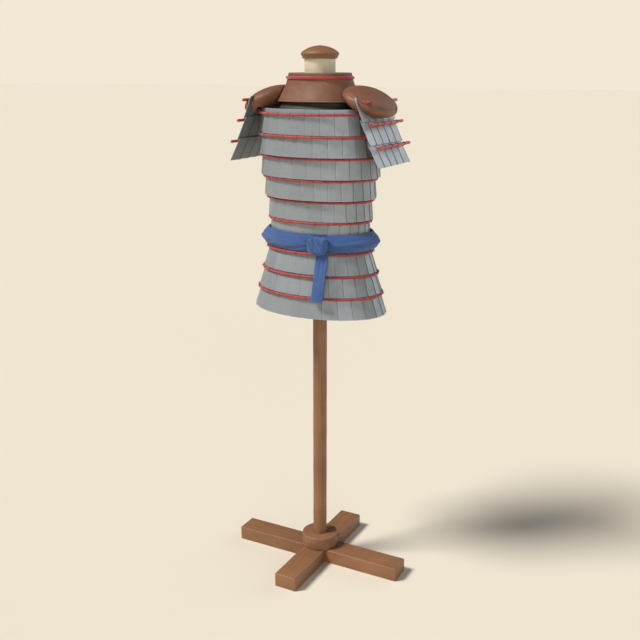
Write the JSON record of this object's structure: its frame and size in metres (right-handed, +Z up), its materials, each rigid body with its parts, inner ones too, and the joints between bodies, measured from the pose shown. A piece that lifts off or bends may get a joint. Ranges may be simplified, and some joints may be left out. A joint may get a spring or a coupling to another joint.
{
  "type": "lamellar armour on a wooden display stand",
  "caption": "Laced steel lamellar armour with collar, shoulder pads, arm panels and sash, worn by a plain limbless form on a wooden cross-foot stand.",
  "frame": {"origin": "on the floor, at the middle of the cross foot, under the pole", "axes": "+Z up along the pole, -Y is the armour's front, +X is the wearer's left"},
  "size_m": [0.6034, 0.4874, 1.7],
  "materials": {
    "steel": "satin, slightly worn plates",
    "red_cord": "braided silk cord",
    "red_rod": "red lacquer with cord ties",
    "leather": "brown vegetable-tanned leather",
    "dark_leather": "blackened leather",
    "sash_cloth": "plain blue woven cloth",
    "linen": "natural linen over a padded form",
    "wood": "oiled brown wood"
  },
  "bodies": {
    "root": {"arm_rod_left_1": "red_rod", "arm_rod_left_2": "red_rod", "arm_rod_left_3": "red_rod", "arm_rod_right_1": "red_rod", "arm_rod_right_2": "red_rod", "arm_rod_right_3": "red_rod", "arm_row_left_1": "steel", "arm_row_left_2": "steel", "arm_row_left_3": "steel", "arm_row_right_1": "steel", "arm_row_right_2": "steel", "arm_row_right_3": "steel", "base_beam_cross": "wood", "base_beam_long": "wood", "collar": "leather", "collar_cord": "red_cord", "finial": "wood", "form": "linen", "hub": "wood", "pole": "wood", "row_1_back": "steel", "row_1_front": "steel", "row_2_back": "steel", "row_2_front": "steel", "row_3": "steel", "row_4": "steel", "row_5": "steel", "row_6": "steel", "row_7": "steel", "row_8": "steel", "row_9": "steel", "row_cord_1_back": "red_cord", "row_cord_1_front": "red_cord", "row_cord_2_back": "red_cord", "row_cord_2_front": "red_cord", "row_cord_3": "red_cord", "row_cord_4": "red_cord", "row_cord_5": "red_cord", "row_cord_6": "red_cord", "row_cord_7": "red_cord", "row_cord_8": "red_cord", "row_cord_9": "red_cord", "sash": "sash_cloth", "sash_knot": "sash_cloth", "sash_tail": "sash_cloth", "shoulder_pad_left": "leather", "shoulder_pad_right": "leather", "yoke": "dark_leather"}
  },
  "joints": []
}
